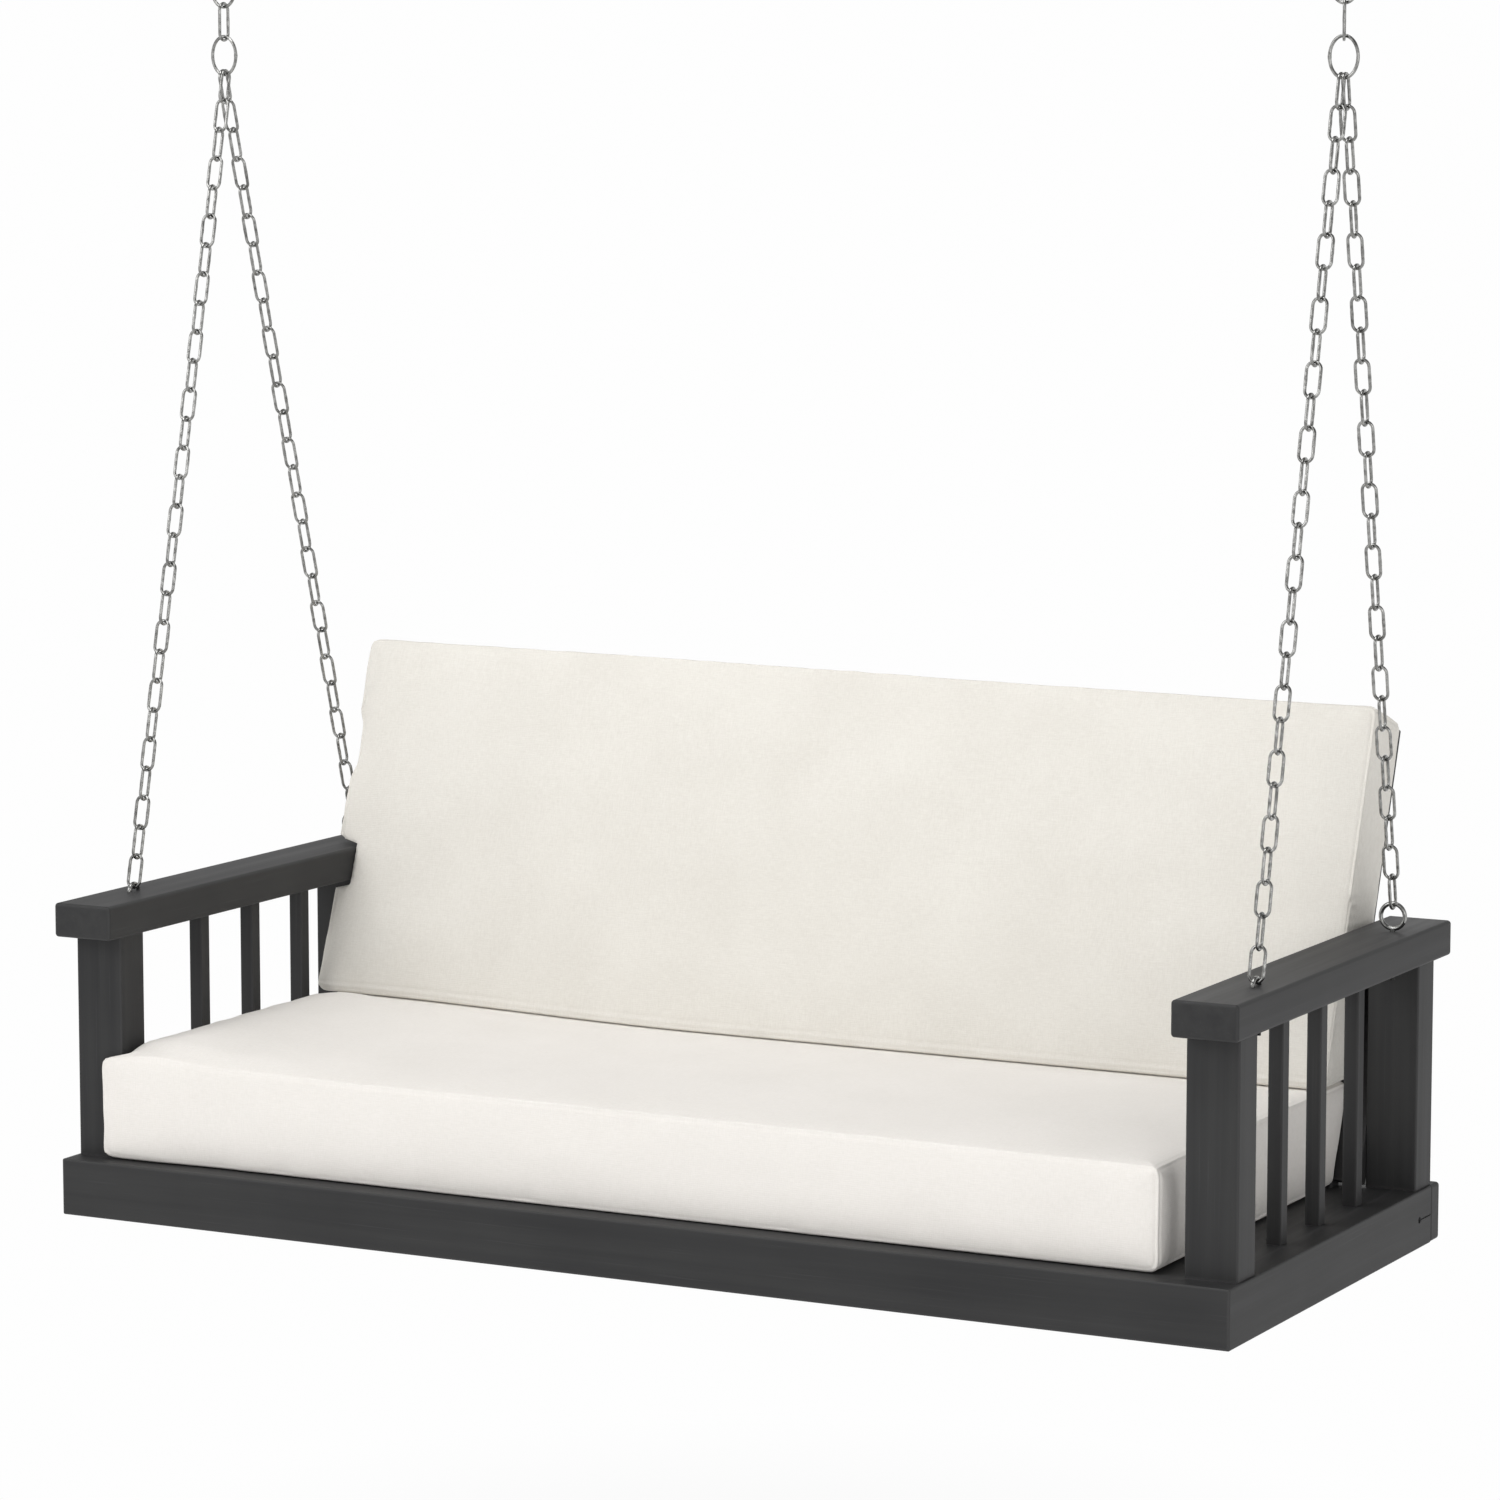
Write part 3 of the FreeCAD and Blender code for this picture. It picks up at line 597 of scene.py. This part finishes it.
# ------------------------------------------------------------------------------- cushions
def rows(length):
    """Positions along one side: close together near both ends, wider in the middle."""
    near = [0.0]
    while near[-1] < GRID_EDGE:
        near.append(near[-1] + GRID_FINE)
    room = length - 2 * near[-1]
    count = max(2, round(room / GRID_COARSE))
    middle = [near[-1] + room * k / count for k in range(1, count)]
    return near + middle + [length - v for v in reversed(near)]


def block_grid(size):
    """Quads over the six sides of a block, welded. Returns points from -half to +half."""
    cuts = [np.array(rows(s)) - s / 2 for s in size]
    index, points, faces = {}, [], []

    def vertex(i, j, k):
        key = (i, j, k)
        if key not in index:
            index[key] = len(points)
            points.append((cuts[0][i], cuts[1][j], cuts[2][k]))
        return index[key]

    counts = [len(c) - 1 for c in cuts]
    for axis in range(3):
        u, v = (axis + 1) % 3, (axis + 2) % 3
        for end in (0, counts[axis]):
            for i in range(counts[u]):
                for j in range(counts[v]):
                    corner = []
                    for a, b in ((i, j), (i + 1, j), (i + 1, j + 1), (i, j + 1)):
                        key = [0, 0, 0]
                        key[axis], key[u], key[v] = end, a, b
                        corner.append(vertex(*key))
                    faces.append(tuple(corner if end else corner[::-1]))
    return np.array(points), faces


def rounded(points, size, radius):
    """Round all edges of the block by a radius."""
    half = np.array(size) / 2
    core = np.clip(points, -(half - radius), half - radius)
    out = points - core
    length = np.linalg.norm(out, axis=1, keepdims=True)
    return core + out / np.maximum(length, 1e-9) * np.minimum(length, radius)


def soft_corners(points, half):
    """Round the corners of the front outline: squares at the corners become quarter discs."""
    out = points.copy()
    core = np.clip(points[:, ::2], -(half[::2] - CORNER_R), half[::2] - CORNER_R)
    away = points[:, ::2] - core
    length = np.maximum(np.linalg.norm(away, axis=1), 1e-9)
    out[:, ::2] = core + away * (np.abs(away).max(1) / length)[:, None]
    return out


def profile_of(node):
    """The four (y, z) corners of a cushion's side: front foot, rear foot, rear top, front top."""
    mesh = NODES[node].data
    pairs = sorted({(round(v.co.y, 5), round(v.co.z, 5)) for v in mesh.vertices},
                   key=lambda p: p[1])
    foot, top = sorted(pairs[:2]), sorted(pairs[-2:])
    return [Vector(p) for p in (foot[0], foot[1], top[1], top[0])]


def evaluated_mesh(obj):
    """The mesh of an object after its modifiers."""
    return bpy.data.meshes.new_from_object(
        obj.evaluated_get(bpy.context.evaluated_depsgraph_get()))


def subdivided(points, faces):
    """One Catmull-Clark step; the same faces always give the same order of points."""
    obj = bpy.data.objects.new("step", make_mesh("step", points, faces))
    scene.collection.objects.link(obj)
    smooth = obj.modifiers.new("smooth", "SUBSURF")
    smooth.levels = smooth.render_levels = 1
    mesh = evaluated_mesh(obj)
    result = coordinates(mesh), [tuple(p.vertices) for p in mesh.polygons]
    bpy.data.objects.remove(obj)
    return result


def inflated(points, faces, held):
    """Cloth under air pressure without gravity; held points stay where they are."""
    obj = bpy.data.objects.new("cloth", make_mesh("cloth", points, faces))
    scene.collection.objects.link(obj)
    group = obj.vertex_groups.new(name="held")
    group.add([int(i) for i in np.flatnonzero(held)], 1.0, "REPLACE")
    cloth = obj.modifiers.new("cloth", "CLOTH")
    settings = cloth.settings
    settings.quality = 3
    settings.mass = 0.3
    settings.tension_stiffness = settings.compression_stiffness = 15
    settings.shear_stiffness = 5
    settings.bending_stiffness = 0.5
    settings.use_pressure = True
    settings.uniform_pressure_force = PRESSURE
    settings.vertex_group_mass = "held"
    settings.effector_weights.gravity = 0
    cloth.collision_settings.use_collision = False
    cloth.point_cache.frame_start, cloth.point_cache.frame_end = 1, BLOW_FRAMES
    for number in range(1, BLOW_FRAMES + 1):
        scene.frame_set(number)
    result = coordinates(evaluated_mesh(obj))
    scene.frame_set(1)
    bpy.data.objects.remove(obj)
    return result


def rise(value, low, high):
    """0 up to low, 1 from high on, smooth between."""
    t = np.clip((value - low) / (high - low), 0, 1)
    return t * t * (3 - 2 * t)


def fall(value, high, low):
    """1 down from low, 0 from high up, smooth between."""
    return rise(-value, -high, -low)


def ridge(distance, width):
    """A bell of height 1 where the distance is 0."""
    return np.exp(-(distance / width) ** 2)


def normals_of(points, faces):
    quads = np.array(faces)
    a, b = points[quads[:, 2]] - points[quads[:, 0]], points[quads[:, 3]] - points[quads[:, 1]]
    flat = np.cross(a, b)
    total = np.zeros_like(points)
    for k in range(4):
        np.add.at(total, quads[:, k], flat)
    return total / np.maximum(np.linalg.norm(total, axis=1, keepdims=True), 1e-12)


def noise_at(points, scale, seed):
    offset = Vector((seed, seed * 0.37, -seed * 0.61))
    return np.array([noise.noise(Vector(p) * scale + offset) for p in points])


def pulled_in(flat, half):
    """The block with its seams drawn in between the corners."""
    inset = np.zeros_like(flat)
    pull = PULL_IN * (1 - (flat / half) ** 2)
    inset[:, 0] = -np.sign(flat[:, 0]) * (np.abs(flat[:, 0]) / half[0]) ** 6 * pull[:, 1]
    inset[:, 1] = -np.sign(flat[:, 1]) * (np.abs(flat[:, 1]) / half[1]) ** 6 * pull[:, 0] \
        * PULL_FRONT
    return flat + inset


def blown_out(start, faces, flat, half, caps):
    """The panels pushed out by the air inside, each at most as far as its cap."""
    side_cap, front_cap, bottom_cap, top_cap = caps
    room = half - np.abs(flat)
    seam = np.sort(room, axis=1)[:, 1]
    direction = np.sign(flat) * (room < ON_PANEL)
    limit = np.abs(direction[:, 0]) * side_cap + np.abs(direction[:, 1]) * front_cap
    limit += np.where(direction[:, 2] > 0, top_cap, 0)
    limit += np.where(direction[:, 2] < 0, bottom_cap, 0)
    on_bottom = flat[:, 2] < -half[2] + ON_PANEL
    shift = inflated(start, faces, (seam < SEAM_HELD) | on_bottom) - start
    amount = np.linalg.norm(shift, axis=1)
    cap = np.maximum(limit, 1e-6)
    return start + shift * (cap * np.tanh(amount / cap) / np.maximum(amount, 1e-9))[:, None]


def seam_distance(room, rest, seam_shift):
    """Distance to the nearest seam; the front bottom one may be up on the front panel."""
    seam = np.sort(room, axis=1)[:, 1]
    if not seam_shift:
        return seam
    near = (rest[:, 1] < 0) & (rest[:, 2] < 0)
    on_front = room[:, 1] < room[:, 2]
    shifted = np.abs(np.where(on_front, room[:, 2], -room[:, 1]) - seam_shift)
    on_edge = room.min(1) > 0
    return np.where(near, np.where(on_edge, shifted, np.minimum(shifted, room[:, 0])), seam)


def seam_relief(rest, half, seam_shift, seed):
    """Height over the surface: sewn welt with a groove beside it, puckers, uneven filling."""
    room = np.maximum(half - np.abs(rest), 0)
    seam = seam_distance(room, rest, seam_shift)
    bold = np.where(room.argmax(1) == 2, SEAM_BOLD, SEAM_FAINT)
    welt = bold * WELT * ridge(seam, 0.0017)
    groove = bold * GROOVE * ridge(seam - 0.0042, 0.0018)
    pucker = noise_at(rest, 34.0, seed) * PUCKER * np.exp(-seam / 0.018)
    uneven = noise_at(rest, 7.0, seed + 5) * UNEVEN * rise(seam, 0.01, 0.08)
    resting = rest[:, 2] < -half[2] + 0.004
    return (welt + groove + pucker + uneven) * np.where(resting, RESTING_SHARE, 1.0)


def cushion(node, caps, radius, seam_shift, shape_more, material, seed):
    """A boxed cushion over its CAD solid: sewn edges held, panels blown out by pressure.

    caps are how far the panels may come out: (sides, front and rear, bottom, top).
    seam_shift moves the front bottom seam up the front panel.
    """
    side = profile_of(node)
    low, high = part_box(node)
    size = (high.x - low.x,
            ((side[1] - side[0]).length + (side[2] - side[3]).length) / 2,
            ((side[3] - side[0]).length + (side[2] - side[1]).length) / 2)
    half = np.array(size) / 2
    flat, faces = block_grid(size)

    def to_part(local):
        u, v, w = ((local[:, i] + half[i]) / size[i] for i in range(3))
        corner = [np.array(c) for c in side]
        v, w = v[:, None], w[:, None]
        yz = ((corner[0] * (1 - v) + corner[1] * v) * (1 - w)
              + (corner[3] * (1 - v) + corner[2] * v) * w)
        return np.column_stack([low.x + u * size[0], yz])

    base = rounded(soft_corners(pulled_in(flat, half), half), size, radius)
    base[:, 2] = np.maximum(base[:, 2], -half[2])
    puffed = blown_out(to_part(base), faces, flat, half, caps)
    fine, fine_faces = subdivided(puffed, faces)
    rest, _ = subdivided(flat, faces)
    relief = seam_relief(rest, half, seam_shift, seed)
    fine = shape_more(fine + normals_of(fine, fine_faces) * relief[:, None])
    piece = new_piece(node + "_cover", fine, fine_faces, material, body_of(node))
    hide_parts(node)


# What the cushions lie against.
POST_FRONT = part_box("post_front_left")[0].y
POST_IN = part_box("post_front_left")[1].x
POST_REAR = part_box("post_rear_left")[0].y
ARM_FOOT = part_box("arm_left")[0].z
ARM_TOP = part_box("arm_left")[1].z
ARM_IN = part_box("arm_left")[1].x
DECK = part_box("seat_slat_1")[1].z
SEAT_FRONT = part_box("seat_cushion")[0].y
EYE_Y, EYE_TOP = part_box("rear_eye_left")[0].y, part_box("rear_eye_left")[1].z
# The back cushion's corners as (y, z), in front and at the rear.
BACK_FOOT, REAR_FOOT, REAR_TOP, BACK_TOP = profile_of("back_cushion")


def left_swell(x):
    """How much higher the seat cushion, and so the foot of the back one, is towards the left."""
    return 0.008 * fall(x, -0.15, -0.60)


def before_frame(y, z):
    """Keep a cushion in front of the leaning back frame."""
    run, climb = REAR_TOP.x - REAR_FOOT.x, REAR_TOP.y - REAR_FOOT.y
    return np.minimum(y, REAR_FOOT.x + (z - REAR_FOOT.y) * run / climb)


def seat_cushion_shape(points):
    """The left end is fuller, swells out before the post; the part under the back is flat."""
    crown, end_lift = 0.011, 0.006
    bulge_out, bulge_left, bulge_drop = 0.006, 0.027, 0.005
    x, y, z = points.T.copy()
    upper = rise(z, DECK + 0.05, DECK + 0.10)
    full = fall(x, -0.30, -0.60) * rise(y, SEAT_FRONT - 0.014, SEAT_FRONT + 0.040)
    z = z + upper * (crown * full + end_lift * fall(x, -0.50, -0.60))
    y = y - bulge_out * fall(x, -0.50, -0.63) * fall(y, POST_FRONT + 0.01, POST_FRONT)
    before_post = fall(y, POST_FRONT - 0.001, POST_FRONT - 0.006)
    bulge = fall(x, -0.60, -0.634) * before_post
    z = z - bulge_drop * bulge * upper
    x = x - bulge_left * bulge
    ceiling = BACK_FOOT.y - CLEAR + left_swell(x)
    under = rise(y, BACK_FOOT.x - 0.05, BACK_FOOT.x - 0.005)
    top = np.where(z > ceiling, z * (1 - under) + ceiling * under, z)
    z = np.where(y > BACK_FOOT.x - 0.005, np.minimum(top, ceiling), top)
    z = np.maximum(z, DECK + CLEAR)
    return np.column_stack([x, before_frame(y, z), z])


def back_cushion_shape(points):
    """The left side is pressed in by the arm and the rear post, and swells out past them."""
    top_lift, left_lift = 0.003, 0.010
    swell_below, swell_above, reach = 0.001, 0.006, 0.04
    chain_gap, chain_lean = 0.009, 0.30
    side_gap = 0.0009
    x, y, z = points.T.copy()
    foot, top = BACK_FOOT.y, BACK_TOP.y
    z = z + left_swell(x) * fall(z, foot + 0.12, foot + 0.01)
    z = z + (top_lift + left_lift * fall(x, 0.62, -0.66)) * rise(z, top - 0.22, top)
    above = rise(z, ARM_TOP + 0.004, ARM_TOP + 0.013)
    below = fall(z, ARM_FOOT - 0.004, ARM_FOOT - 0.013)
    before_post = fall(y, POST_REAR - 0.007, POST_REAR - 0.017)
    free = np.maximum(above, below * before_post)
    edge = fall(x, -0.62, -0.65) * free
    chain_y = EYE_Y + chain_gap - chain_lean * (z - EYE_TOP)
    beside_chain = rise(y, chain_y - 0.030, chain_y - 0.016) \
        * fall(z, EYE_TOP + 0.125, EYE_TOP + 0.105)
    x = x - (swell_below + swell_above * above) * edge * (1 - beside_chain)
    stop = np.where(below > 0.5, POST_IN + side_gap, ARM_IN + side_gap)
    x = np.maximum(x, stop * (1 - free) + (stop - reach) * free)
    z = np.maximum(z, foot + left_swell(x))
    return np.column_stack([x, before_frame(y, z), z])


# ---------------------------------------------------------------------------------- build
make_camera()
make_stage()

zinc_bright = zinc("zinc")
# Painted shade: a darker copy of the zinc for steel that lies in shade.
painted_shade_zinc = zinc("zinc_painted_shade", PAINTED_SHADE_LIGHT, PAINTED_SHADE_DULL, rough=(0.4, 0.55))
# The eyes' tails under the arms get painted shade.
zinc_eye = zinc("zinc_eye", painted_shade_below=ARM_FOOT)
for name, obj in NODES.items():
    if name in UNSEEN:
        give(obj, painted_shade_zinc)
    elif name.startswith(METAL):
        give(obj, zinc_eye if "_eye_" in name else zinc_bright)
    elif not name.endswith("_cushion"):
        give(obj, charcoal_paint(name))

chain_pieces(zinc_bright)
ring_pieces(zinc_bright)
cushion("seat_cushion", caps=(0.003, 0.0035, 0.0, 0.010), radius=0.0085, seam_shift=0.0,
        shape_more=seat_cushion_shape, seed=3.0,
        material=linen("linen_seat", 0.0, SEAT_LIGHT, SEAT_DARK))
# The back cushion's cloth is painted darker, as painted shade.
cushion("back_cushion", caps=(0.002, 0.009, 0.0, 0.005), radius=0.012, seam_shift=0.009,
        shape_more=back_cushion_shape, seed=11.0,
        material=linen("linen_back", LEAN, BACK_SHADED_LIGHT, BACK_SHADED_DARK))
